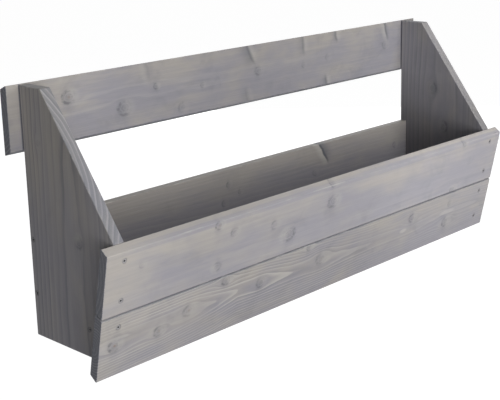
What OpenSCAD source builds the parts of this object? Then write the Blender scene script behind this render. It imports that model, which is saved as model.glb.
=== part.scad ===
// Fence planter: a long stained wooden trough that hangs on a fence by its top rail.
// Two shaped side panels carry a rail, two leaning front boards, a back board and a floor.
// +X runs along the planter, -Y points away from the fence and +Z is up.
// The origin is the middle of the rail's back face, where the planter meets the fence.

/* [Bevelled boards] */
// Length of the rail and of both front boards
board_len = 950; // [600:10:1400]
// Width of a bevelled board, measured along its face
board_w = 95; // [80:1:120]
// Thickness of a bevelled board
board_t = 14; // [12:0.5:20]
// How much lower one face of a bevelled board sits than the other
board_slant = 6.5; // [0:0.5:9]
// How far the rail and the front boards pass each side panel
end_overhang = 22; // [0:1:60]

/* [Side panels] */
// Thickness of a side panel
panel_t = 18; // [16:0.5:28]
// Height of a side panel
panel_h = 370; // [330:5:480]
// Depth of a side panel at its top
panel_top_d = 48; // [40:1:80]
// Depth of a side panel at its bottom
panel_bottom_d = 153; // [120:1:200]
// Chamfer along every edge of a side panel
panel_chamfer = 1.5; // [0.5:0.1:3]

/* [Front] */
// Lean of the front outwards from the vertical, in degrees
front_lean = 11.75; // [4:0.25:16]
// Gap between the two front boards
front_gap = 2; // [0.5:0.1:6]
// How far the lower front board hangs below the side panels, along the front
front_drop = 10; // [0:1:12]

/* [Rail] */
// Height of the rail's top edge above the side panels
rail_rise = 2.5; // [0:0.5:10]

/* [Back board and floor] */
// Thickness of the back board
back_t = 14; // [12:0.5:20]
// Height of the back board's top above the bottom of the side panels
back_top = 174; // [150:1:200]
// How far the back board reaches below the floor
back_lip = 6; // [2:1:12]
// Thickness of the floor
floor_t = 14; // [12:0.5:20]
// Height of the floor's underside above the bottom of the side panels
floor_z = 35; // [20:1:60]
// Gap along the front of the floor, where water runs out
drain_gap = 3; // [1:0.5:10]
// Diameter of the drain holes in the floor
drain_d = 12; // [6:1:20]
// Number of drain holes
drain_count = 5; // [1:1:9]

/* [Edges and fits] */
// Radius along the long edges of every board
edge_r = 1.2; // [0.5:0.1:3]
// Gap between a board and the face that it is screwed to
seat_gap = 0.2; // [0:0.1:0.8]

/* [Screws] */
// Length of a screw
screw_len = 40; // [34:1:50]
// Diameter of a screw's shank
screw_d = 3.5; // [3:0.5:5]
// Diameter of a screw's head
head_d = 7; // [6:0.5:9]
// How far a screw head is sunk below the wood
head_sink = 0.3; // [0:0.1:1]
// Gap around a screw in its hole
screw_clearance = 0.1; // [0.05:0.05:0.3]
// Upper front board: its lower screws above the board's bottom
upper_screw_low = 15; // [12:1:35]
// Upper front board: its upper screws below the board's top
upper_screw_high = 20; // [12:1:35]
// Lower front board: its lower screws above the board's bottom
lower_screw_low = 18; // [16:1:35]
// Lower front board: its upper screws below the board's top
lower_screw_high = 24; // [12:1:35]
// Back board: its lower screws above the board's bottom
back_screw_low = 37; // [12:1:55]
// Back board: its upper screws below the board's top
back_screw_high = 27; // [12:1:40]
// Floor: its side screws behind the floor's front edge
floor_screw_inset = 30; // [12:1:60]
// Floor: its outer back screws in from the floor's ends
floor_screw_end = 135; // [60:5:200]
// Rail: its screws in from the rail's long edges
rail_screw_inset = 25; // [14:1:35]

/* [Hidden] */

// Straight steps in each rounded corner of a board's section
arc_steps = 5;
// How far a cutting shape runs past the wood
overcut = 5;

// Side panels: the raked front edge is as long as the two boards that it carries
rake_len = 2 * board_w + front_gap - front_drop;
knee_d = panel_bottom_d + rake_len * sin(front_lean);
knee_z = rake_len * cos(front_lean);
half_outside = board_len / 2 - end_overhang;
half_inside = half_outside - panel_t;
panel_mid = half_outside - panel_t / 2;

// Boards between the side panels
inner_len = 2 * (half_inside - seat_gap);
back_bottom = floor_z - back_lip;
back_w = back_top - back_bottom;
front_inside_d = panel_bottom_d + floor_z * tan(front_lean);
floor_back = back_t + seat_gap;
floor_d = front_inside_d - floor_back - drain_gap;
floor_mid_z = floor_z + floor_t / 2;

// Front boards: the bottom of each one's back face, along the rake
upper_start = rake_len - board_w;
lower_start = upper_start - front_gap - board_w;

// Rail: the bottom of its front face, and the middle of its back face
rail_start = panel_h + rail_rise - board_w;
rail_back = seat_gap + board_t;
rail_mid_z = rail_start - board_slant + board_w / 2;

// Screw head and point
head_rim = 0.3;
head_cone = (head_d - screw_d) / 2;
point_len = 5;

front_grey = [0.66, 0.65, 0.66];
rail_grey = [0.58, 0.58, 0.59];
side_grey = [0.42, 0.41, 0.42];
inside_grey = [0.50, 0.49, 0.50];
steel_grey = [0.45, 0.45, 0.44];

// Moves the planter from the foot of its side panels to the origin on the rail's back
module hung()
    translate([0, -rail_back, -rail_mid_z]) children();

// Stands on the side panels' raked edge: +Z runs up the rake, -Y points out of it
module on_rake()
    translate([0, -panel_bottom_d, 0]) rotate([front_lean, 0, 0]) children();

// An outline in the Y-Z plane, drawn out along X about the middle
module along_x(length)
    rotate([90, 0, 90]) linear_extrude(height = length, center = true) children();

// Points of one rounded corner at b, between its neighbours a and c
function unit(v) = v / norm(v);
function corner(a, b, c, r) =
    let (u = unit(a - b),
         v = unit(c - b),
         half = acos(u * v) / 2,
         centre = b + unit(u + v) * r / sin(half),
         from = b + u * r / tan(half) - centre)
    [for (i = [0 : arc_steps])
        let (turn = (180 - 2 * half) * i / arc_steps)
        centre + [from.x * cos(turn) - from.y * sin(turn),
                  from.x * sin(turn) + from.y * cos(turn)]];

// A convex outline with all its corners rounded
function rounded(points, r) =
    let (n = len(points))
    [for (i = [0 : n - 1])
        each corner(points[(i + n - 1) % n], points[i], points[(i + 1) % n], r)];

// Section of a board: its first face stands on the origin, the other one lies lower by slant
module board_section(t, w, slant = 0)
    polygon(rounded([[0, 0], [t, -slant], [t, w - slant], [0, w]], edge_r));

// A bevelled board with its high face at y = 0 and its thickness towards +Y
module bevelled_board()
    along_x(board_len) board_section(board_t, board_w, board_slant);

// Chamfers the edge from p to q of a flat panel, on its face at height z
module edge_chamfer(p, q, z) {
    run = q - p;
    side = panel_chamfer * sqrt(2);
    translate([p.x, p.y, z])
        rotate([0, 0, atan2(run.y, run.x)])
            rotate([45, 0, 0])
                translate([-overcut, -side / 2, -side / 2])
                    cube([norm(run) + 2 * overcut, side, side]);
}

// Outline of a side panel, from its bottom back corner round to its bottom front corner
panel_outline = [
    [0, 0],
    [0, panel_h],
    [-panel_top_d, panel_h],
    [-knee_d, knee_z],
    [-panel_bottom_d, 0]
];

// A side panel lying flat, with the chamfer on all its edges
module flat_panel() {
    n = len(panel_outline);
    difference() {
        linear_extrude(height = panel_t) polygon(panel_outline);
        for (i = [0 : n - 1], z = [0, panel_t])
            edge_chamfer(panel_outline[i], panel_outline[(i + 1) % n], z);
    }
}

// Section of a screw along its axis, from above its head to its point
function screw_section(gap = 0, above = 0) =
    [[0, -above],
     [head_d / 2 + gap, -above],
     [head_d / 2 + gap, head_rim],
     [screw_d / 2 + gap, head_rim + head_cone],
     [screw_d / 2 + gap, screw_len - point_len],
     [0, screw_len + gap]];

// A countersunk wood screw driven towards +Z from the wood's face at z = 0
module screw()
    translate([0, 0, head_sink])
        rotate_extrude($fn = 48) polygon(screw_section());

// The hole that takes such a screw, open above the wood
module screw_hole()
    translate([0, 0, head_sink])
        rotate_extrude($fn = 48) polygon(screw_section(screw_clearance, overcut));

// Places of the screws: each puts its children where a screw enters, driving towards +Z
module at_rail_screws()
    for (side = [-1, 1], z = [rail_screw_inset, board_w - rail_screw_inset])
        translate([side * panel_mid, rail_back, rail_start - board_slant + z])
            rotate([90, 0, 0]) children();

module at_front_screws(heights)
    for (side = [-1, 1], s = heights)
        on_rake()
            translate([side * panel_mid, -seat_gap - board_t, s])
                rotate([-90, 0, 0]) children();

module at_upper_screws()
    at_front_screws([upper_start + upper_screw_low,
                     upper_start + board_w - upper_screw_high]) children();

module at_lower_screws()
    at_front_screws([lower_start + lower_screw_low,
                     lower_start + board_w - lower_screw_high]) children();

module at_back_board_screws()
    for (side = [-1, 1], z = [back_bottom + back_screw_low, back_top - back_screw_high])
        translate([side * half_outside, -back_t / 2, z])
            rotate([0, -90 * side, 0]) children();

module at_floor_side_screws()
    for (side = [-1, 1])
        translate([side * half_outside, floor_screw_inset - floor_back - floor_d, floor_mid_z])
            rotate([0, -90 * side, 0]) children();

module at_floor_back_screws()
    for (x = [-1, 0, 1] * (inner_len / 2 - floor_screw_end))
        translate([x, 0, floor_mid_z])
            rotate([90, 0, 0]) children();

// Side panel: upright grain, raked front edge, long slope up to the rail
module side_panel(side)
    color(side_grey) hung()
        difference() {
            translate([side * panel_mid - panel_t / 2, 0, 0])
                rotate([90, 0, 90]) flat_panel();
            at_rail_screws() screw_hole();
            at_upper_screws() screw_hole();
            at_lower_screws() screw_hole();
            at_back_board_screws() screw_hole();
            at_floor_side_screws() screw_hole();
        }

module side_panel_left() side_panel(-1);

module side_panel_right() side_panel(1);

// Rail behind the side panels: its sloping underside drops onto a fence slat
module hanging_rail()
    color(rail_grey) hung()
        difference() {
            translate([0, seat_gap, rail_start]) bevelled_board();
            at_rail_screws() screw_hole();
        }

// A front board on the rake, with its high face against the side panels
module front_board(start)
    on_rake()
        translate([0, -seat_gap, start])
            mirror([0, 1, 0]) bevelled_board();

module front_board_upper()
    color(front_grey) hung()
        difference() {
            front_board(upper_start);
            at_upper_screws() screw_hole();
        }

module front_board_lower()
    color(front_grey) hung()
        difference() {
            front_board(lower_start);
            at_lower_screws() screw_hole();
        }

// Back board between the side panels, flush with their back edges
module back_board()
    color(inside_grey) hung()
        difference() {
            translate([0, -back_t, back_bottom])
                along_x(inner_len) board_section(back_t, back_w);
            at_back_board_screws() screw_hole();
            at_floor_back_screws() screw_hole();
        }

// Floor between the side panels, with a drain gap along its front and drain holes
module floor_board()
    color(inside_grey) hung()
        difference() {
            translate([0, -floor_back - floor_d, floor_z])
                along_x(inner_len) board_section(floor_d, floor_t);
            for (i = [1 : drain_count])
                translate([inner_len * (i / (drain_count + 1) - 0.5),
                           -floor_back - floor_d / 2, floor_z - overcut])
                    cylinder(d = drain_d, h = floor_t + 2 * overcut, $fn = 48);
            at_floor_side_screws() screw_hole();
            at_floor_back_screws() screw_hole();
        }

module rail_screws() color(steel_grey) hung() at_rail_screws() screw();

module front_upper_screws() color(steel_grey) hung() at_upper_screws() screw();

module front_lower_screws() color(steel_grey) hung() at_lower_screws() screw();

module back_board_screws() color(steel_grey) hung() at_back_board_screws() screw();

module floor_side_screws() color(steel_grey) hung() at_floor_side_screws() screw();

module floor_back_screws() color(steel_grey) hung() at_floor_back_screws() screw();

side_panel_left();
side_panel_right();
hanging_rail();
front_board_upper();
front_board_lower();
back_board();
floor_board();
rail_screws();
front_upper_screws();
front_lower_screws();
back_board_screws();
floor_side_screws();
floor_back_screws();
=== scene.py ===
import math

import bmesh
import bpy
from mathutils import Euler, Matrix, Vector


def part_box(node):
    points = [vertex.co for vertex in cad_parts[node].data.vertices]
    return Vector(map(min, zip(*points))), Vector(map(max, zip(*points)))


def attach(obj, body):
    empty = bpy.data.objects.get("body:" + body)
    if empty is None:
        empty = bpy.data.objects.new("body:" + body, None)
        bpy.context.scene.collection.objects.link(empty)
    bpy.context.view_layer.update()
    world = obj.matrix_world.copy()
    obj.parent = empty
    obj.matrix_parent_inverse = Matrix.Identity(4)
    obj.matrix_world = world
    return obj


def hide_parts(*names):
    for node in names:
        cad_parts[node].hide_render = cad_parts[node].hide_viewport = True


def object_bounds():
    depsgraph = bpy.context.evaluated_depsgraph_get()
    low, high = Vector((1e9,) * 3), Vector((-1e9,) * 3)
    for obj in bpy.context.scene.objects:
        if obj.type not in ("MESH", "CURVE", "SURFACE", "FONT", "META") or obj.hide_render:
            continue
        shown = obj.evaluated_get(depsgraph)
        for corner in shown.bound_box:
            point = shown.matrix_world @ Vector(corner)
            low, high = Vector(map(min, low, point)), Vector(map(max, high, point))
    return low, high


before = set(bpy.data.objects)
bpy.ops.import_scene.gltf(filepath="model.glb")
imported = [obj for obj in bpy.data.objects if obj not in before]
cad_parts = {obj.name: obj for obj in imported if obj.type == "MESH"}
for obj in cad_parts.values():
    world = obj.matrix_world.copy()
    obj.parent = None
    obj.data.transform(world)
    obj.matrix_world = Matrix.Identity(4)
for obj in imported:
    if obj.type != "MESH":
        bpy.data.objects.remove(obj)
cad_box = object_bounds()


# Camera
# It stands to the left of the planter's front, a little above the rail, and looks slightly down
# along the length. The eye's place and the lens come from the lines of the boards.
eye = Vector((-1.3011, -1.2837, 0.3055))
look_yaw = math.radians(45.75)
look_down = math.radians(13.84)
look_roll = math.radians(-1.41)
lens_mm = 78.52
sensor_mm = 36.0
horizon_shift = -0.081

camera_data = bpy.data.cameras.new("camera")
camera_data.lens = lens_mm
camera_data.sensor_width = sensor_mm
camera_data.shift_y = horizon_shift
camera = bpy.data.objects.new("camera", camera_data)
camera.matrix_world = (
    Matrix.Translation(eye)
    @ Matrix.Rotation(-look_yaw, 4, "Z")
    @ Matrix.Rotation(math.pi / 2 - look_down, 4, "X")
    @ Matrix.Rotation(look_roll, 4, "Z")
)
bpy.context.scene.collection.objects.link(camera)
bpy.context.scene.camera = camera
bpy.context.scene.view_settings.view_transform = "Standard"


# Studio
# A wide white floor below the hanging planter and a white room that gives weak light all round.
# Two soft boxes stand in front of its ends, one beside the camera and one behind; one hangs above.
floor_drop = 0.30
floor_width = 24.0
floor_white = 0.80
floor_bounce = 0.12
floor_glow = 1.30
floor_glow_share = 0.75
room_light = 0.05


class Shade:
    """A socket of a material. Sums and products of it in Python add the Math nodes that they stand for."""

    def __init__(self, tree, socket=None):
        self.tree = tree
        self.socket = socket

    def node(self, kind, settings=None, inputs=None, output=0):
        """Adds a node with its settings first, then the values or links of its sockets."""
        made = self.tree.nodes.new(kind)
        for key, value in (settings or {}).items():
            setattr(made, key, value)
        for key, value in (inputs or {}).items():
            if isinstance(value, Shade):
                self.tree.links.new(value.socket, made.inputs[key])
            else:
                made.inputs[key].default_value = value
        return None if output is None else Shade(self.tree, made.outputs[output])

    def math(self, operation, *values):
        return self.node("ShaderNodeMath", {"operation": operation}, dict(enumerate(values)))

    def __add__(self, other):
        return self.math("ADD", self, other)

    def __radd__(self, other):
        return self.math("ADD", other, self)

    def __sub__(self, other):
        return self.math("SUBTRACT", self, other)

    def __rsub__(self, other):
        return self.math("SUBTRACT", other, self)

    def __mul__(self, other):
        return self.math("MULTIPLY", self, other)

    def __rmul__(self, other):
        return self.math("MULTIPLY", other, self)

    def __truediv__(self, other):
        return self.math("DIVIDE", self, other)

    def __pow__(self, other):
        return self.math("POWER", self, other)


def new_material(name):
    """A material whose tree is empty, and the handle that adds nodes to it."""
    material = bpy.data.materials.new(name)
    material.use_nodes = True
    material.node_tree.nodes.clear()
    return material, Shade(material.node_tree)


def show(surface, kind="ShaderNodeOutputMaterial"):
    """Links the finished surface to the output of its material or world."""
    surface.node(kind, None, {"Surface": surface}, output=None)


def seen_ray(handle):
    """1 where the camera sees a surface directly, in a reflection or through glass."""
    seen_as = [
        handle.node("ShaderNodeLightPath", output=name)
        for name in ("Is Camera Ray", "Is Glossy Ray", "Is Transmission Ray")
    ]
    return handle.math("MAXIMUM", handle.math("MAXIMUM", seen_as[0], seen_as[1]), seen_as[2])


world = bpy.data.worlds.new("white_room")
bpy.context.scene.world = world
world.use_nodes = True
world.node_tree.nodes.clear()
room = Shade(world.node_tree)
seen = seen_ray(room)
room_strength = seen + (1 - seen) * room_light
white_walls = room.node("ShaderNodeBackground", None, {"Color": (1, 1, 1, 1), "Strength": room_strength})
show(white_walls, "ShaderNodeOutputWorld")

paper, handle = new_material("floor_paper")
seen = seen_ray(handle)
lit = handle.node("ShaderNodeBsdfDiffuse", None, {"Color": (floor_white, floor_white, floor_white, 1)})
dull = handle.node("ShaderNodeBsdfDiffuse", None, {"Color": (floor_bounce, floor_bounce, floor_bounce, 1)})
glow = handle.node("ShaderNodeEmission", None, {"Color": (1, 1, 1, 1), "Strength": floor_glow})
pale = handle.node("ShaderNodeMixShader", None, {0: floor_glow_share, 1: lit, 2: glow})
show(handle.node("ShaderNodeMixShader", None, {0: seen, 1: dull, 2: pale}))

bm = bmesh.new()
bmesh.ops.create_grid(bm, x_segments=1, y_segments=1, size=floor_width / 2)
bmesh.ops.translate(bm, verts=bm.verts, vec=(0, 0, cad_box[0].z - floor_drop))
floor_mesh = bpy.data.meshes.new("studio_floor")
bm.to_mesh(floor_mesh)
bm.free()
floor_mesh.materials.append(paper)
studio_floor = bpy.data.objects.new("studio_floor", floor_mesh)
bpy.context.scene.collection.objects.link(studio_floor)


def soft_box(name, place, aim, width, height, watts):
    """A rectangular lamp at a place, turned towards the point that it lights."""
    light = bpy.data.lights.new(name, "AREA")
    light.shape = "RECTANGLE"
    light.size = width
    light.size_y = height
    light.energy = watts
    lamp = bpy.data.objects.new(name, light)
    lamp.location = place
    lamp.rotation_euler = (Vector(aim) - Vector(place)).to_track_quat("-Z", "Y").to_euler()
    lamp.visible_camera = False
    bpy.context.scene.collection.objects.link(lamp)


planter_middle = (0, -0.1, -0.15)
soft_box("left_soft_box", (-0.8, -1.8, -0.2), planter_middle, 0.9, 0.8, 12)
soft_box("right_soft_box", (0.5, -1.8, 0.3), planter_middle, 0.9, 1.0, 16)
soft_box("camera_soft_box", (-2.2, -2.2, 0.0), planter_middle, 1.4, 1.2, 19)
soft_box("high_soft_box", (0, -1.3, 2.1), planter_middle, 1.5, 1.0, 16)
soft_box("back_soft_box", (2.2, 1.9, -0.1), planter_middle, 1.6, 1.2, 40)


# Side panels
# Two planed spruce boards, 18 mm thick with upright grain, sawn to a raked front edge and a long
# slope up to the rail, their edges broken by sanding. The same grey stain covers every board.
panel_low, panel_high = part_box("side_panel_left")
panel_t = panel_high.x - panel_low.x
panel_outer = -panel_low.x
panel_mid = panel_outer - panel_t / 2
panel_top_d = 0.048
panel_bottom_d = 0.153
panel_knee = Vector((0, panel_low.y, -0.1403))
panel_round = 0.0015
front_lean = math.radians(11.75)
board_w = 0.095
board_t = 0.014
seat_gap = 0.0002
head_r = 0.0035
head_sink = 0.0003
filler_t = 0.0009
screw_length = 0.040
upper_screw_heights = (0.102, 0.162)
lower_screw_heights = (0.008, 0.061)

front_foot = Vector((0, panel_high.y - panel_bottom_d, panel_low.z))
on_rake = Matrix.Translation(front_foot) @ Matrix.Rotation(front_lean, 4, "X")


def screws_from_behind(node, columns, heights):
    """Where screws enter the wood at the back of a CAD node's box, at each x and z given, and which way."""
    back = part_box(node)[1].y + head_sink
    return [(Vector((x, back, z)), Vector((0, -1, 0))) for x in columns for z in heights]


def side_screws(node):
    """Screws driven in from both outer faces towards the middle, at each height of the node's box."""
    low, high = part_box(node)
    depth = (low.y + high.y) / 2
    heights = sorted({round(low.z + head_r, 5), round(high.z - head_r, 5)})
    return [
        (Vector((side * panel_outer, depth, z)), Vector((-side, 0, 0)))
        for side in (-1, 1)
        for z in heights
    ]


def raked_screws(heights):
    """Screws through a front board, square to the rake, at the middle of each side panel's edge."""
    inwards = (on_rake.to_3x3() @ Vector((0, 1, 0))).normalized()
    return [
        (on_rake @ Vector((side * panel_mid, -seat_gap - board_t, height)), inwards)
        for side in (-1, 1)
        for height in heights
    ]


corner_low, corner_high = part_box("rail_screws")
row_low, row_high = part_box("floor_back_screws")
screw_places = {
    "rail_screws": screws_from_behind(
        "rail_screws", (corner_low.x + head_r, corner_high.x - head_r),
        (corner_low.z + head_r, corner_high.z - head_r),
    ),
    "front_upper_screws": raked_screws(upper_screw_heights),
    "front_lower_screws": raked_screws(lower_screw_heights),
    "back_board_screws": side_screws("back_board_screws"),
    "floor_side_screws": side_screws("floor_side_screws"),
    "floor_back_screws": screws_from_behind(
        "floor_back_screws", (row_low.x + head_r, 0, row_high.x - head_r),
        ((row_low.z + row_high.z) / 2,),
    ),
}
filled_over = screw_places["front_lower_screws"][0]


def prism(outline, run):
    """A closed solid: the outline's face, drawn out by the vector run."""
    bm = bmesh.new()
    face = bm.faces.new([bm.verts.new(point) for point in outline])
    drawn = bmesh.ops.extrude_face_region(bm, geom=[face])
    moved = [part for part in drawn["geom"] if isinstance(part, bmesh.types.BMVert)]
    bmesh.ops.translate(bm, verts=moved, vec=run)
    bmesh.ops.recalc_face_normals(bm, faces=bm.faces)
    return bm


def ease(bm, edges, width, steps):
    """Rounds the given edges, as sandpaper does. The width is how far the rounding reaches each way."""
    bmesh.ops.bevel(
        bm, geom=edges, offset=width, offset_type="OFFSET", segments=steps,
        profile=0.5, affect="EDGES", clamp_overlap=True, material=-1,
    )


def mark_arrises(bm):
    """Stores 1 on the points of the rounded edges and 0 on the flats, for the wear of the stain."""
    narrow = 0.003
    worn = bm.verts.layers.float.new("arris")
    for vert in bm.verts:
        widths = [2 * f.calc_area() / sum(e.calc_length() for e in f.edges) for f in vert.link_faces]
        vert[worn] = 1.0 if max(widths) < narrow else 0.0


def as_object(bm, name):
    """Ends a bmesh as a mesh object of the scene."""
    mesh = bpy.data.meshes.new(name)
    bm.to_mesh(mesh)
    bm.free()
    made = bpy.data.objects.new(name, mesh)
    bpy.context.scene.collection.objects.link(made)
    return made


def cut_away(piece, cutter):
    """Takes the cutter's solid out of the piece's mesh, and the cutter out of the scene.

    Edges of no length that the cut may leave are dissolved, so that each run gives the same faces.
    """
    no_length = 2e-6
    cut = piece.modifiers.new("cut", "BOOLEAN")
    cut.operation = "DIFFERENCE"
    cut.solver = "EXACT"
    cut.object = cutter
    seen_mesh = piece.evaluated_get(bpy.context.evaluated_depsgraph_get())
    whole = piece.data
    piece.data = bpy.data.meshes.new_from_object(seen_mesh)
    bm = bmesh.new()
    bm.from_mesh(piece.data)
    bmesh.ops.dissolve_degenerate(bm, edges=bm.edges, dist=no_length)
    bm.to_mesh(piece.data)
    bm.free()
    piece.modifiers.remove(cut)
    bpy.data.meshes.remove(whole)
    bpy.data.objects.remove(cutter)


# Half section of a screw's hole: distance from the axis and depth below the face
hole_section = ((0.0042, -0.0003), (0.0036, 0.0003), (0.0036, 0.0006), (0.00185, 0.00235),
                (0.00185, 0.0353), (0.0, 0.0404))


def drill(bm, name, screws):
    """Makes a board's object, with a countersunk hole for each screw that enters or crosses it."""
    board = as_object(bm, name)
    bit = bmesh.new()
    for place, direction in screws:
        turn = Vector((0, 0, 1)).rotation_difference(direction).to_matrix().to_4x4()
        old = set(bit.verts)
        line = [bit.verts.new((0, 0, hole_section[0][1]))]
        line += [bit.verts.new((r, 0, z)) for r, z in hole_section]
        edges = [bit.edges.new(pair) for pair in zip(line, line[1:])]
        bmesh.ops.spin(
            bit, geom=line + edges, cent=(0, 0, 0), axis=(0, 0, 1),
            angle=math.tau, steps=32, use_merge=True,
        )
        fresh = [v for v in bit.verts if v not in old]
        bmesh.ops.transform(bit, matrix=Matrix.Translation(place) @ turn, verts=fresh)
    bmesh.ops.remove_doubles(bit, verts=bit.verts, dist=1e-6)
    bmesh.ops.recalc_face_normals(bit, faces=bit.faces)
    cut_away(board, as_object(bit, "bit"))
    return board


def finish_faces(board):
    """Smooth rounded edges between flat faces."""
    board.data.shade_smooth()
    board.data.set_sharp_from_angle(angle=math.radians(35))
    smooth = board.modifiers.new("flat_faces", "WEIGHTED_NORMAL")
    smooth.weight = 100
    smooth.keep_sharp = True


def step(x, low, high):
    """0 below low and 1 above high, with a smooth rise between. The ends may be swapped."""
    return x.node(
        "ShaderNodeMapRange", {"interpolation_type": "SMOOTHSTEP"},
        {"Value": x, "From Min": low, "From Max": high, "To Min": 0.0, "To Max": 1.0},
    )


def ramp(x, low, high):
    """0 at low and 1 at high, in a straight line, and level beyond both."""
    return x.node(
        "ShaderNodeMapRange", {"clamp": True},
        {"Value": x, "From Min": low, "From Max": high, "To Min": 0.0, "To Max": 1.0},
    )


def blend(factor, a, b):
    """Colour a where the factor is 0 and b where it is 1."""
    return factor.node("ShaderNodeMix", {"data_type": "RGBA"}, {0: factor, 6: a, 7: b}, output=2)


def dim(colour, factor):
    """A colour made darker or lighter by a factor."""
    return factor.node("ShaderNodeVectorMath", {"operation": "SCALE"}, {0: colour, "Scale": factor})


def cloud(at, stretch, detail=2.0, roughness=0.5, distortion=0.0):
    """Noise from 0 to 1 with so many patches to the metre along, across and through the board."""
    stretched = at.node("ShaderNodeVectorMath", {"operation": "MULTIPLY"}, {0: at, 1: stretch})
    return at.node(
        "ShaderNodeTexNoise", None,
        {"Vector": stretched, "Scale": 1.0, "Detail": detail, "Roughness": roughness,
         "Distortion": distortion},
    )


def course(x, points):
    """The value at x of a line through the (x, value) points. It stays level beyond both ends."""
    value = points[0][1]
    for (x0, value0), (x1, value1) in zip(points, points[1:]):
        value = value + (value1 - value0) * ramp(x, x0, x1)
    return value


# The stain's greys on cool wood, on warm wood and over late wood, where it gathers and where it is
# thickest, the red of a knot's heart, and the stain in early and late wood of a sawn end. ink also paints
# shade at seams and round screws, and the sawn-end greys paint shade along some edges.
violet_grey = (0.352, 0.342, 0.376, 1)
beige_grey = (0.445, 0.416, 0.388, 1)
pale_line = (0.585, 0.560, 0.528, 1)
slate = (0.215, 0.220, 0.245, 1)
ink = (0.095, 0.098, 0.118, 1)
rust = (0.290, 0.205, 0.180, 1)
end_dark = (0.150, 0.156, 0.182, 1)
end_pale = (0.290, 0.290, 0.310, 1)

# Flames that follow each other evenly along a board
even_years = ((-0.90, 0), (-0.62, 1), (-0.34, 2), (-0.06, 3), (0.22, 4), (0.50, 5), (0.78, 6))


def knot_masks(u, v, w, ragged, broken, knots):
    """How far the knots push the grain aside, and how much of each of their parts is at a point.

    The parts are the pale swell on the bright side, the strokes of the rim, the haze round the knot,
    the pith and the red of a warm pith.
    """
    sums = None
    for along, across, radius, dark, angle, warm in knots:
        du = u - along + w * 0.15
        dv = v - across
        far = ((du * du * 0.8 + dv * dv * 1.25) ** 0.5) / radius + ragged * 0.5
        spread = du * du * 0.20 + dv * dv
        bent = dv * radius ** 2 / spread.math("MAXIMUM", spread, radius ** 2)
        lean = math.radians(angle)
        shaded = step((du * math.cos(lean) + dv * math.sin(lean)) / radius + ragged * 1.1, -0.8, 0.9)
        rim = step(far, 0.64, 0.90) * step(far, 1.40, 1.02)
        inner = step(far, 0.20, 0.36) * step(far, 0.64, 0.48)
        strokes = (rim * (shaded * 0.65 + 0.15) + inner * 0.36) * (broken * 0.70 + 0.30) * dark
        haze = step(((du * du * 1.3 + dv * dv * 0.6) ** 0.5) / radius + ragged * 1.4, 2.3, 0.3)
        bright = step(far, 2.0, 0.8) * (1 - shaded) * dark
        pith = step(far, 0.36, 0.05)
        parts = (bent, bright, strokes, haze * (shaded * 0.6 + 0.4) * dark, pith * dark, pith * warm)
        sums = parts if sums is None else tuple(old + new for old, new in zip(sums, parts))
    return sums


def smear(colour, u, v, ripple, wedge):
    """Stain that has gathered along one side of a line, with a pale line along its other side.

    wedge is (u, v, u, v, width, darkness, softness): the line runs from a knot to the board's edge, and
    the stain fades out over the width. A negative width puts it on the line's other side.
    """
    u0, v0, u1, v1, width, dark, soft = wedge
    length = math.hypot(u1 - u0, v1 - v0)
    side = math.copysign(1, width)
    du = u - u0
    dv = v - v0
    aside = (du * ((v1 - v0) / length) - dv * ((u1 - u0) / length)) * side + ripple * 0.008
    run = (du * (u1 - u0) + dv * (v1 - v0)) / length ** 2
    drawn_in = step(run, -0.25, 0.45) * dark
    edge = step(aside, -soft, soft)
    colour = blend(edge * step(aside, abs(width), 0.0) * drawn_in * 0.62, colour, slate)
    colour = blend(edge * step(aside, 0.007, 0.001) * drawn_in * 0.55, colour, ink)
    return blend((1 - edge) * step(aside, -0.016, -0.002) * drawn_in * 0.40, colour, pale_line)


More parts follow.
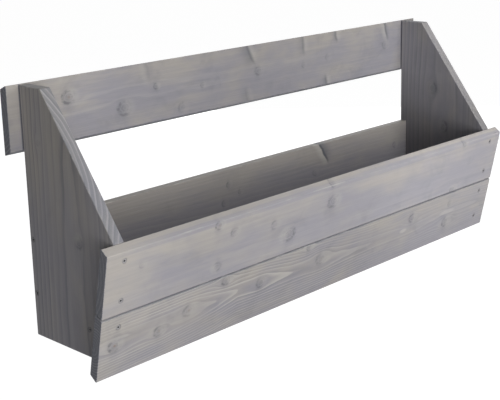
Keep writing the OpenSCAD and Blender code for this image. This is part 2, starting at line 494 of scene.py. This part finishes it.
def stained_spruce(
    name, turn, middle, heart, heart_w, ring_gap, knots, years=even_years, lines=((0, 0.5),), reach=1.0,
    band=(0.45, 0.90, 1.0, 0.96), pale=1.0, darks=0.45, cover=0.0, tones=((0, 1.0),), warmths=((0, 0.5),),
    rise=0.0, fade=0.08, mottle=1.0, half_width=board_w / 2, crown=None, wedges=(), gleams=(), cuts=(),
    sanded=(), seams=(), screws=(), ringed=0.40, seed=0.0,
):
    """Planed spruce under a translucent grey stain, grown as a solid log so that faces, edges and ends agree.

    turn and middle bring the board to u along its grain, v across it and w out of its face. heart is
    where the log's heart runs, as (u, v) points, heart_w how far out it lies, and years are (u, rings)
    points: each whole number of rings is one pointed flame along the board. knots are (u, v, radius,
    darkness, angle of the dark side, warmth).

    lines, tones and warmths say how much the rings show, how light the board is and how warm its stain
    is along the board, as (u, value) points; on some boards the tones hold painted light and shade too.
    reach is how far from the heart the rings show, band where in a year their pale side rises and falls,
    pale and darks how strong their two sides are, and cover how far the stain hides the pale one on the
    face. rise makes the upper edge warmer and fade makes it lighter, mottle is how blotchy the stain is,
    half_width how far off the edges are, and crown how far up the top edge begins.

    wedges are the lines that smear() describes. gleams are pale spots as (u, v, half length, half
    height, strength). cuts are sawn ends, dark where the stain soaks in, and edges painted dark as shade,
    as (u, v, distance, darkness), and sanded edges are rubbed paler, as (u, v, distance, strength).
    seams are where another board touches, painted as dark lines of shade, screws the (u, v) of screw
    heads, and ringed how dark the ring round them is, partly stain and partly painted shade. seed sets
    the noise of one board apart from the others'.
    """
    first_year = 40
    material, handle = new_material(name)
    placed = handle.node("ShaderNodeTexCoord", output="Object")
    spin_back = Euler(turn).to_matrix()
    at = handle.node(
        "ShaderNodeMapping", {"vector_type": "POINT"},
        {"Vector": placed, "Rotation": turn, "Location": -(spin_back @ Vector(middle))},
    )
    u, v, w = (handle.node("ShaderNodeSeparateXYZ", None, {0: at}, output=i) for i in range(3))
    drawn = at.node("ShaderNodeVectorMath", {"operation": "ADD"}, {0: at, 1: (seed, seed * 1.7, seed * 0.6)})

    # Knots, with ragged rims and broken strokes
    ragged = cloud(drawn, (110, 170, 170), 3.0, 0.65) - 0.5
    broken = step(cloud(drawn, (130, 160, 160), 2.0), 0.42, 0.58)
    bent, bright, strokes, haze, pith, warm_pith = knot_masks(u, v, w, ragged, broken, knots)

    # Growth rings: the distance from the heart, bent by the knots and by the way the tree grew
    sway = cloud(drawn, (2.6, 6, 6), 2.0) - 0.5
    ripple = cloud(drawn, (16, 60, 60), 2.0) - 0.5
    aside = v - bent - course(u, heart) + sway * 0.008
    deep = w - heart_w
    from_heart = (aside * aside + deep * deep) ** 0.5 + ripple * 0.0026
    age = course(u, years) + (from_heart - abs(heart_w)) / ring_gap + first_year
    part = age.math("FRACT", age)
    year = age.node(
        "ShaderNodeTexWhiteNoise", {"noise_dimensions": "1D"}, {"W": age.math("FLOOR", age)}, output="Value"
    )
    shown = course(u, lines) * step(aside.math("ABSOLUTE", aside), reach * 1.5, reach * 0.6)
    late = step(part, band[0], band[1]) * step(part, band[2], band[3]) * (year * 0.65 + 0.35)
    on_face = step(w, -0.0015, -0.0003)
    early = step(part, 0.0, 0.06) * step(part, 0.42, 0.06) * (1.1 - year)

    # Fibres, and how thick the stain lies
    fibre = cloud(drawn, (22, 800, 800), 2.0, 0.6)
    streak = cloud(drawn, (6, 190, 190), 3.0, 0.6)
    wash = cloud(drawn, (9, 24, 30), 3.0, 0.55, 0.3)
    veil = step(cloud(drawn, (6, 16, 16), 2.0), 0.30, 0.62)
    patch = cloud(drawn, (18, 22, 24), 3.0, 0.60, 0.5)
    lift = ramp(v, -half_width, half_width)

    tint = (wash - 0.5) * (0.75 * mottle) + (streak - 0.5) * 0.25 + course(u, warmths) + lift * lift * rise
    if crown is not None:
        on_edge = step(v, crown - 0.002, crown)
        tint = tint + on_edge * (step(w, -0.004, -0.008) * 0.35 - 0.22)
    colour = blend(step(tint, 0.20, 0.80), violet_grey, beige_grey)
    colour = blend(step(patch, 0.50, 0.78) * (0.20 * mottle), colour, slate)
    colour = blend(late * (veil * 0.6 + 0.4) * shown * (1 - on_face * cover) * pale, colour, pale_line)
    colour = blend(early * (veil * 0.5 + 0.5) * shown * darks, colour, slate)
    for along, across, half_long, half_high, strength in gleams:
        off = ((u - along) / half_long) ** 2 + ((v - across) / half_high) ** 2 + ragged * 0.5
        colour = blend(step(off, 1.3, 0.2) * strength, colour, pale_line)
    for wedge in wedges:
        colour = smear(colour, u, v, ripple, wedge)
    colour = blend(bright * 0.36, colour, pale_line)
    colour = blend(haze * 0.42, colour, slate)
    colour = blend(strokes * 0.70, colour, ink)
    colour = blend(pith * 0.22, colour, ink)
    colour = blend(warm_pith * 0.70, colour, rust)
    # Fibres and streaks vary the stain; fade and tones also carry painted light and shade on some boards
    stain_and_painted_light = 0.83 + fibre * 0.16 + streak * 0.18 + (lift - 0.5) * fade
    colour = dim(colour, stain_and_painted_light * course(u, tones))

    # Round the screws, partly stain and partly painted shade of the countersink; painted shade where boards
    # touch and along edges given as cuts; stain soaking into sawn ends; the stain worn paler on the arrises
    # A dark ring round each screw head, partly stain gathered there and partly painted shade of the
    # countersink.
    for screw_u, screw_v in screws:
        du = u - screw_u
        dv = v - screw_v
        ring = ((du * du + dv * dv) ** 0.5) / head_r + ragged * 1.2
        at_face = step(w.math("ABSOLUTE", w), 0.004, 0.003)
        colour = blend(step(ring, 1.50, 1.0) * at_face * ringed, colour, ink)
    # Painted shade: a thin dark line along each seam where another board touches.
    for seam in seams:
        close = (u - seam).math("ABSOLUTE", u - seam)
        colour = blend(step(close, 0.0028, 0.0008) * 0.90, colour, ink)
    speckle = cloud(drawn, (500, 1300, 1300), 2.0, 0.7)
    soak_and_shade_colour = blend(step(speckle, 0.35, 0.75) * 0.35 + late * 0.85, end_dark, end_pale)
    chips = (cloud(drawn, (300, 420, 420), 3.0, 0.7) - 0.5) * 0.0030
    for cut_u, cut_v, distance, dark in cuts:
        under = distance - (u * cut_u + v * cut_v)
        soak_and_shade = step(under + chips, 0.0012, 0.0002) * dark
        colour = blend(soak_and_shade, colour, soak_and_shade_colour)
    for cut_u, cut_v, distance, strength in sanded:
        under = distance - (u * cut_u + v * cut_v)
        colour = blend(step(under, 0.0012, 0.0002) * strength, colour, pale_line)
    arris = handle.node("ShaderNodeAttribute", {"attribute_name": "arris"}, output="Fac")
    rubbed = arris * step(cloud(drawn, (20, 70, 70), 3.0, 0.7), 0.48, 0.66)
    colour = blend(rubbed * 0.30, colour, pale_line)

    relief = late * 0.30 + fibre * 0.40 + streak * 0.30 - strokes * 0.25
    bump = relief.node("ShaderNodeBump", None, {"Strength": 0.45, "Distance": 0.0004, "Height": relief})
    gloss = 0.66 - late * 0.10 + (streak - 0.5) * 0.16
    show(handle.node(
        "ShaderNodeBsdfPrincipled", None,
        {"Base Color": colour, "Roughness": gloss, "Normal": bump, "Specular IOR Level": 0.30},
    ))
    return material


def hang(piece, node, material):
    """Gives a finished piece its material and puts it in the place of its CAD node."""
    piece.data.materials.clear()
    piece.data.materials.append(material)
    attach(piece, "root")
    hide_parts(node)


slope_run = Vector((0, panel_high.y - panel_top_d, panel_high.z)) - panel_knee
slope_out = Vector((0, -slope_run.z, slope_run.y)).normalized()
panel_outline = [
    Vector((0, panel_high.y, panel_low.z)),
    Vector((0, panel_high.y, panel_high.z)),
    Vector((0, panel_high.y - panel_top_d, panel_high.z)),
    panel_knee,
    front_foot,
]
grain_middle_d = 0.085
panel_middle = Vector((0, panel_high.y - grain_middle_d, (panel_low.z + panel_high.z) / 2))
panel_half_h = (panel_high.z - panel_low.z) / 2
slope_reach = (panel_knee - panel_middle).dot(slope_out)
panel_ends = ((1, 0, panel_half_h, 0.35), (-1, 0, panel_half_h, 0.8))

# Past this x, a screw reaches into a side panel
panel_screws_from = 0.4

panel_growth = {
    "side_panel_left": dict(
        heart=((0, -0.016),), heart_w=0.065, seed=3.1, warmths=((-0.05, 0.32), (0.10, 0.62)),
        lines=((0, 0.80),), pale=1.0, darks=0.90, cover=0.65, tones=((0, 0.86),),
        cuts=panel_ends + ((slope_out.z, slope_out.y, slope_reach, 0.62),),
        knots=[(-0.020, -0.029, 0.008, 1.0, 200, 0.0), (0.110, 0.050, 0.005, 0.25, 180, 0.2)],
    ),
    "side_panel_right": dict(
        heart=((0, -0.016),), heart_w=-0.047, seed=5.3, warmths=((0, 0.30),),
        # The tones darken the low part of this panel, by the trough: painted shade.
        lines=((0, 0.60),), pale=0.35, darks=0.95, tones=((0.0, 0.52), (0.09, 0.77)), mottle=1.5,
        cuts=panel_ends, sanded=((slope_out.z, slope_out.y, slope_reach, 0.18),),
        knots=[(0.063, 0.010, 0.010, 0.8, 270, 0.0), (-0.010, -0.015, 0.010, 0.8, 270, 0.1)],
    ),
}
for side, node in ((-1, "side_panel_left"), (1, "side_panel_right")):
    outer_x = side * panel_outer
    start = min(outer_x, outer_x - side * panel_t)
    bm = prism([point + Vector((start, 0, 0)) for point in panel_outline], (panel_t, 0, 0))
    ease(bm, list(bm.edges), panel_round, 3)
    mark_arrises(bm)
    reached = [
        (place, direction)
        for row in screw_places.values()
        for place, direction in row
        if place.x * side > panel_screws_from
    ]
    panel = drill(bm, node + "_wood", reached)
    finish_faces(panel)
    entered = [
        (place.z - panel_middle.z, place.y - panel_middle.y)
        for row in ("back_board_screws", "floor_side_screws")
        for place, direction in screw_places[row]
        if place.x * side > 0
    ]
    wood = stained_spruce(
        node + "_stain", (0, math.radians(90), 0), panel_middle + Vector((outer_x, 0, 0)),
        ring_gap=0.0070, band=(0.50, 0.80, 1.0, 0.90), years=((-0.5, 0.0), (0.5, 1.6)),
        screws=entered, ringed=0.60, **panel_growth[node],
    )
    hang(panel, node, wood)


# Back board
# One wide planed board between the side panels, behind the trough. Its long edges are rounded, and
# screws through the side panels hold its ends.
back_low, back_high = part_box("back_board")
edge_r = 0.0013
end_round = 0.0012


def long_edges(bm):
    """Each long edge of a board, with the angle between the two faces that meet there."""
    long_run = 0.3
    found = [e for e in bm.edges if abs((e.verts[0].co - e.verts[1].co).x) > long_run]
    return [(e, math.pi - e.calc_face_angle()) for e in found]


def end_edges(bm):
    """The edges round both sawn ends."""
    reach = max(v.co.x for v in bm.verts) - 1e-6
    return [e for e in bm.edges if all(abs(v.co.x) > reach for v in e.verts)]


def planed_board(section, half_length):
    """A board along X whose long edges are rounded to one radius, with sanded ends.

    Sharp corners are rounded apart from the others, since the same radius reaches further there.
    """
    bm = prism([Vector((-half_length, y, z)) for y, z in section], (2 * half_length, 0, 0))
    square = math.radians(90)
    flattest = math.radians(130)
    for sharper in (True, False):
        angles = [(e, angle) for e, angle in long_edges(bm) if (angle < square - 0.01) == sharper]
        corners = [(e, angle) for e, angle in angles if angle < flattest]
        if corners:
            width = edge_r / math.tan(corners[0][1] / 2)
            ease(bm, [e for e, angle in corners], width, 4)
    ease(bm, end_edges(bm), end_round, 2)
    mark_arrises(bm)
    return bm


def box_section(low, high):
    """The corners of a square-edged board's section, as (y, z), between the corners of its box."""
    return [(low.y, low.z), (high.y, low.z), (high.y, high.z), (low.y, high.z)]


def touching(low, high):
    """The screws whose shanks run through a box."""
    margin = 0.001
    probes = 8
    inside = []
    for row in screw_places.values():
        for place, direction in row:
            run = [place + direction * screw_length * i / probes for i in range(probes + 1)]
            if any(all(low[k] - margin < p[k] < high[k] + margin for k in range(3)) for p in run):
                inside.append((place, direction))
    return inside


back_board = drill(
    planed_board(box_section(back_low, back_high), back_high.x), "back_board_wood",
    touching(back_low, back_high),
)
finish_faces(back_board)
wood = stained_spruce(
    "back_board_stain", (math.radians(-90), 0, 0), (0, back_low.y, (back_low.z + back_high.z) / 2),
    heart=((0, -0.02),), heart_w=-0.06, ring_gap=0.0048,
    knots=[(0.157, 0.022, 0.006, 0.5, 225, 0.0), (0.398, 0.030, 0.006, 0.6, 190, 0.0),
           (-0.064, 0.046, 0.005, 0.8, 180, 0.0), (-0.075, 0.016, 0.006, 0.6, 180, 0.0),
           (-0.038, 0.028, 0.004, 0.6, 180, 0.0), (-0.270, -0.020, 0.011, 0.6, 200, 0.3),
           (0.330, -0.030, 0.010, 0.6, 190, 0.2)],
    wedges=[(0.1908, 0.0364, 0.1660, 0.0725, 0.030, 1.45, 0.0025),
            (0.1908, 0.0364, 0.1800, 0.0520, 0.006, 1.00, 0.0015)],
    cuts=((1, 0, back_high.x, 1.0), (-1, 0, back_high.x, 1.0)),
    # Painted light: the tones lighten the right end against the shade of the right panel, and fade lightens
    # the lower part against the shade of the front boards.
    tones=((0.25, 0.84), (0.42, 0.99)), lines=((0, 0.16),), warmths=((0, 0.0),), rise=0.85, fade=-0.40,
    half_width=(back_high.z - back_low.z) / 2, seed=11.0,
)
hang(back_board, "back_board", wood)


# Floor
# A planed board on which the pots stand, with a gap along its front and five drain holes. It is
# screwed through the side panels and through the back board.
floor_low, floor_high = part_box("floor_board")
drain_r = 0.006
drain_count = 5
auger_length = 0.03
floor_middle_y = (floor_low.y + floor_high.y) / 2
floor_board = drill(
    planed_board(box_section(floor_low, floor_high), floor_high.x), "floor_board_wood",
    touching(floor_low, floor_high),
)
bm = bmesh.new()
for hole in range(1, drain_count + 1):
    hole_x = 2 * floor_high.x * (hole / (drain_count + 1) - 0.5)
    hole_middle = (hole_x, floor_middle_y, (floor_low.z + floor_high.z) / 2)
    bmesh.ops.create_cone(
        bm, cap_ends=True, segments=40, radius1=drain_r, radius2=drain_r, depth=auger_length,
        matrix=Matrix.Translation(hole_middle),
    )
cut_away(floor_board, as_object(bm, "auger"))
finish_faces(floor_board)
wood = stained_spruce(
    "floor_board_stain", (0, 0, 0), (0, floor_middle_y, floor_high.z),
    heart=((0, 0.01),), heart_w=-0.05, ring_gap=0.0045,
    knots=[(-0.310, 0.020, 0.010, 0.8, 200, 0.5), (-0.060, -0.030, 0.008, 0.7, 180, 0.2),
           (0.190, 0.035, 0.011, 0.8, 190, 0.4), (0.350, -0.015, 0.007, 0.6, 170, 0.0)],
    cuts=((1, 0, floor_high.x, 1.0), (-1, 0, floor_high.x, 1.0)), tones=((0, 0.88),), lines=((0, 0.45),),
    seed=17.0,
)
hang(floor_board, "floor_board", wood)


# Hanging rail
# A bevelled board behind the side panels, 95 mm wide, with a sloping underside that drops onto a
# slat of the fence. Screws from behind hold it to the panels' back edges.
board_slant = 0.0065
rail_low, rail_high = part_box("hanging_rail")
rail_section = [
    (rail_low.y, board_slant - board_w / 2), (rail_high.y, -board_w / 2),
    (rail_high.y, board_w / 2), (rail_low.y, board_slant + board_w / 2),
]
hanging_rail = drill(
    planed_board(rail_section, rail_high.x), "hanging_rail_wood", touching(rail_low, rail_high)
)
finish_faces(hanging_rail)
wood = stained_spruce(
    "hanging_rail_stain", (math.radians(-90), 0, 0), (0, rail_low.y, board_slant),
    heart=((-0.35, 0.002), (0.0, 0.001), (0.3, 0.006)), heart_w=-0.034, ring_gap=0.0056, reach=0.012,
    years=((-0.47, 0.55), (0.05, 0.72), (0.20, 0.90), (0.45, 1.00)), band=(0.64, 0.78, 0.94, 0.86),
    knots=[(-0.3693, 0.0159, 0.0105, 1.0, 200, 0.5), (-0.2668, -0.0165, 0.0115, 0.9, 200, 0.0),
           (-0.2018, 0.0080, 0.0050, 1.0, 200, 0.0), (-0.1480, -0.0340, 0.0080, 0.4, 150, 0.0),
           (-0.1025, -0.0046, 0.0045, 0.5, 180, 0.0), (0.0296, 0.0014, 0.0080, 0.6, 190, 0.0),
           (0.1458, -0.0040, 0.0050, 0.45, 180, 0.0), (0.2120, 0.0021, 0.0060, 0.35, 180, 0.0),
           (0.3830, 0.0050, 0.0080, 0.5, 200, 0.2)],
    wedges=[(-0.2160, 0.0150, -0.2250, 0.0485, 0.022, 0.60, 0.010),
            (0.0200, 0.0160, 0.0030, 0.0455, -0.030, 1.00, 0.004),
            (0.1480, 0.0160, 0.1440, 0.0450, -0.024, 0.80, 0.005),
            (0.2400, 0.0280, 0.2350, 0.0450, -0.016, 0.90, 0.004),
            (0.3890, 0.0150, 0.3780, 0.0450, 0.014, 1.00, 0.003),
            (0.2070, -0.0300, 0.2090, -0.0480, 0.020, 1.00, 0.005),
            (-0.0030, -0.0240, 0.0030, -0.0460, 0.024, 0.60, 0.010)],
    # The third cut paints shade along the rail's lower edge, which faces down.
    cuts=((1, 0, rail_high.x, 1.0), (-1, 0, rail_high.x, 1.0), (0, -1, board_w / 2, 0.9)),
    # The seams paint shade where the side panels' back edges meet the rail.
    seams=(panel_outer - panel_t, -panel_outer),
    # The tones are partly the wood's own and partly painted light and shade: lighter ends and a darker
    # middle, as the lamps fall on it.
    tones=((-0.46, 0.89), (-0.25, 0.735), (0.01, 0.66), (0.35, 0.84)), mottle=1.9,
    lines=((-0.10, 0.36), (0.12, 0.16)), warmths=((-0.46, 0.62), (-0.44, 0.32)), rise=0.30, seed=23.0,
)
hang(hanging_rail, "hanging_rail", wood)


# Front boards
# Two bevelled boards, 95 mm wide, on the raked edges of the side panels. Their sloping edges leave
# a shadow line between them. Two screws at either end hold each board, and one head is filled over.
front_high_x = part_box("front_board_upper")[1].x

# How far up the rake the back face of each board begins
upper_start = 0.087
lower_start = -0.010

# The node, start, side of the joint and grain of each board
front_boards = (
    ("front_board_upper", upper_start, -1, dict(
        heart=((0, 0.004),), heart_w=-0.105, ring_gap=0.0062, lines=((0, 0.16),), crown=0.0415, seed=31.0,
        years=((-0.5, 0.0), (0.5, 0.4)),
        warmths=((-0.46, 0.60), (-0.39, 0.36), (-0.05, 0.32), (0.10, 0.29)),
        # The tones are partly the wood's own and partly painted light: the right end is lighter, as from a
        # lamp there.
        tones=((-0.43, 0.96), (-0.30, 0.87), (0.02, 0.95), (0.25, 1.18), (0.44, 1.16)), fade=0.0, mottle=1.3,
        knots=[(-0.2690, 0.0410, 0.0070, 1.0, 200, 0.6), (-0.2350, 0.0220, 0.0070, 0.7, 160, 0.0),
               (-0.2655, -0.0270, 0.0075, 0.8, 20, 0.0), (-0.4110, 0.0190, 0.0050, 0.35, 200, 0.0),
               (-0.1470, 0.0110, 0.0075, 0.5, 180, 0.0), (-0.1120, -0.0140, 0.0120, 0.9, 330, 0.0),
               (-0.0106, 0.0180, 0.0115, 0.9, 200, 0.0), (0.3466, -0.0430, 0.0085, 0.8, 250, 0.0),
               (0.3580, 0.0470, 0.0070, 0.6, 200, 0.5), (-0.0150, 0.0500, 0.0070, 0.6, 180, 0.0)],
    )),
    ("front_board_lower", lower_start, 1, dict(
        heart=((-0.47, 0.004), (-0.30, 0.010), (-0.21, 0.0155), (-0.09, 0.0105), (0.10, 0.006), (0.22, 0.005),
               (0.34, 0.009), (0.47, 0.006)), heart_w=-0.012, ring_gap=0.0042,
        years=((-0.62, 0), (-0.43, 1), (-0.257, 2), (-0.211, 3), (-0.076, 4), (0.106, 5), (0.45, 6),
               (0.80, 7)),
        gleams=((0.207, 0.0054, 0.011, 0.0042, 0.55), (0.342, 0.0095, 0.026, 0.0050, 0.40)),
        lines=((-0.20, 0.78), (0.06, 0.74), (0.13, 0.30)), seed=37.0,
        warmths=((-0.46, 0.56), (-0.39, 0.42), (-0.12, 0.38), (-0.06, 0.31)),
        # The tones are partly the wood's own and partly painted light: the right end is lighter, as from a
        # lamp there.
        tones=((-0.43, 0.88), (-0.20, 0.77), (0.06, 0.79), (0.25, 0.98), (0.44, 1.08)), mottle=1.6,
        knots=[(-0.4480, 0.0021, 0.0095, 1.0, 215, 1.0), (-0.3675, -0.0024, 0.0080, 0.8, 190, 0.5),
               (-0.3120, 0.0130, 0.0095, 0.55, 180, 0.4), (-0.2410, 0.0400, 0.0070, 1.0, 225, 0.0),
               (-0.1616, 0.0130, 0.0080, 0.9, 200, 0.1), (-0.0180, 0.0140, 0.0110, 0.6, 195, 0.2),
               (0.2290, 0.0250, 0.0085, 0.9, 180, 0.0), (0.3440, -0.0110, 0.0100, 0.8, 200, 0.0),
               (0.3470, 0.0250, 0.0060, 0.5, 180, 0.0), (-0.0530, 0.0440, 0.0060, 0.8, 180, 0.0)],
    )),
)
for node, start, joint_side, growth in front_boards:
    low_edge = start - board_slant
    front_plane = -seat_gap - board_t
    section = [
        (-seat_gap, start), (front_plane, low_edge),
        (front_plane, low_edge + board_w), (-seat_gap, start + board_w),
    ]
    own_screws = screw_places[node.replace("board_", "") + "_screws"]
    shown = [screw for screw in own_screws if screw is not filled_over]
    flat_screws = [(on_rake.inverted() @ place, Vector((0, 1, 0))) for place, direction in shown]
    front_board = drill(planed_board(section, front_high_x), node + "_wood", flat_screws)
    front_board.data.transform(on_rake)
    finish_faces(front_board)
    face_middle = on_rake @ Vector((0, front_plane, low_edge + board_w / 2))
    up_the_rake = on_rake.to_3x3() @ Vector((0, 0, 1))
    entered = [(place.x, (place - face_middle).dot(up_the_rake)) for place, direction in shown]
    wood = stained_spruce(
        node + "_stain", (math.radians(-90) - front_lean, 0, 0), face_middle,
        # The cut along the joint is partly stain gathered at the edge and partly painted shade of the shadow
        # line.
        cuts=((1, 0, front_high_x, 1.0), (-1, 0, front_high_x, 1.0), (0, joint_side, board_w / 2, 0.75)),
        screws=entered, rise=0.28, **growth,
    )
    hang(front_board, node, wood)


# Screws
# Countersunk wood screws of dull plated steel, 3.5 x 40 mm, with a star drive and a single thread.
# Their heads lie just below the wood. Their drives are painted near black as shade, and the side
# screws' heads are painted dark as the shade they lie in.
shank_r = 0.0016
turn_between = 1.1
plate_dark = (0.270, 0.266, 0.275, 1)
plate_pale = (0.380, 0.370, 0.370, 1)
screw_shade = (0.012, 0.012, 0.014, 1)


def steel_with_painted_shade(name, shade_share):
    """Dull plating, painted near black in the drive's recess as shade, and, from 0 to 1, painted dark over
    the whole screw as shade.
    """
    material, handle = new_material(name)
    placed = handle.node("ShaderNodeTexCoord", output="Object")
    tarnish = cloud(placed, (900, 900, 900), 3.0, 0.6)
    plate = blend(step(tarnish, 0.35, 0.7), plate_dark, plate_pale)
    pit = handle.node("ShaderNodeAttribute", {"attribute_name": "recess"}, output="Fac")
    # Painted shade: near black in the drive's recess, and over the whole screw by the given share.
    plate = blend(pit * (0.95 - shade_share) + shade_share, plate, screw_shade)
    scratched = cloud(placed, (2600, 2600, 2600), 2.0)
    relief = handle.node("ShaderNodeBump", None, {"Strength": 0.3, "Distance": 0.0001, "Height": scratched})
    show(handle.node(
        "ShaderNodeBsdfPrincipled", None,
        {"Base Color": plate, "Metallic": 0.15, "Roughness": 0.52 + tarnish * 0.20, "Normal": relief,
         "Specular IOR Level": 0.30},
    ))
    return material


front_steel = steel_with_painted_shade("front_screw_steel", 0.0)
# The side screws get painted shade over their heads.
side_steel = steel_with_painted_shade("side_screw_steel", 0.45)


def draw_out(bm, edges, profile):
    """Draws a closed loop of edges on along the screw. Each step is scaled about the axis and moved down."""
    for scale, drop in profile:
        grown = bmesh.ops.extrude_edge_only(bm, edges=edges)["geom"]
        verts = [g for g in grown if isinstance(g, bmesh.types.BMVert)]
        bmesh.ops.scale(bm, verts=verts, vec=(scale, scale, 1))
        bmesh.ops.translate(bm, verts=verts, vec=(0, 0, drop))
        edges = [g for g in grown if isinstance(g, bmesh.types.BMEdge)]
    return edges


def circle_edges(bm, sides, radius):
    """A flat ring of points about the axis, and the edges between them in a fixed order."""
    ring = bmesh.ops.create_circle(bm, cap_ends=False, segments=sides, radius=radius)["verts"]
    return ring, list(dict.fromkeys(e for v in ring for e in v.link_edges))


def wood_screw(bm):
    """One screw with the middle of its head's top at the origin, pointing towards +Z."""
    sides = 24
    lobes = 6
    star_r = 0.0014
    star_wave = 0.16
    flat_share = 0.94
    recess = bm.verts.layers.float.new("recess")
    ring, star = circle_edges(bm, sides, star_r)
    for vert in ring:
        lobe = 1 + star_wave * math.cos(lobes * math.atan2(vert.co.y, vert.co.x))
        vert.co.x *= lobe
        vert.co.y *= lobe
    outer = circle_edges(bm, sides, head_r * flat_share)[1]
    bmesh.ops.bridge_loops(bm, edges=star + outer)
    rim = set(bm.verts)
    pit = draw_out(bm, star, ((0.96, 0.0001), (0.94, 0.0015), (0.3, 0.0004)))
    bmesh.ops.contextual_create(bm, geom=pit)
    for vert in bm.verts:
        vert[recess] = 0.0 if vert in rim else 1.0
    head = ((1 / flat_share, 0.0002), (1.0, 0.0001), (shank_r / head_r, 0.00195))
    shank = ((1.0, 0.0140), (0.72, 0.0003))
    edge = draw_out(bm, outer, head + shank)
    rows = 96
    turns = 11
    threaded = 0.0185
    core_r = 0.00115
    crest_h = 0.00055
    for row in range(1, rows + 1):
        edge = draw_out(bm, edge, ((1.0, threaded / rows),))
        twist = row / rows * turns * math.tau
        for vert in {v for e in edge for v in e.verts}:
            angle = math.atan2(vert.co.y, vert.co.x)
            crest = max(0.0, math.cos(angle - twist)) ** 3 * crest_h
            around = Vector((vert.co.x, vert.co.y)).normalized() * (core_r + crest)
            vert.co.x, vert.co.y = around
    edge = draw_out(bm, edge, ((0.55, 0.0030), (0.15, 0.0018)))
    bmesh.ops.contextual_create(bm, geom=edge)
    bmesh.ops.recalc_face_normals(bm, faces=bm.faces)


bm = bmesh.new()
wood_screw(bm)
one_screw = bpy.data.meshes.new("one_screw")
bm.to_mesh(one_screw)
bm.free()
for node, places in screw_places.items():
    bm = bmesh.new()
    for number, screw in enumerate(places):
        place, direction = screw
        sunk = head_sink + (filler_t if screw is filled_over else 0.0)
        old = set(bm.verts)
        bm.from_mesh(one_screw)
        driven = (
            Matrix.Translation(place + direction * sunk)
            @ Vector((0, 0, 1)).rotation_difference(direction).to_matrix().to_4x4()
            @ Matrix.Rotation(number * turn_between, 4, "Z")
        )
        bmesh.ops.transform(bm, matrix=driven, verts=[v for v in bm.verts if v not in old])
    screws = as_object(bm, node + "_steel")
    screws.data.shade_smooth()
    screws.data.set_sharp_from_angle(angle=math.radians(40))
    hang(screws, node, front_steel if "front" in node else side_steel)
bpy.data.meshes.remove(one_screw)
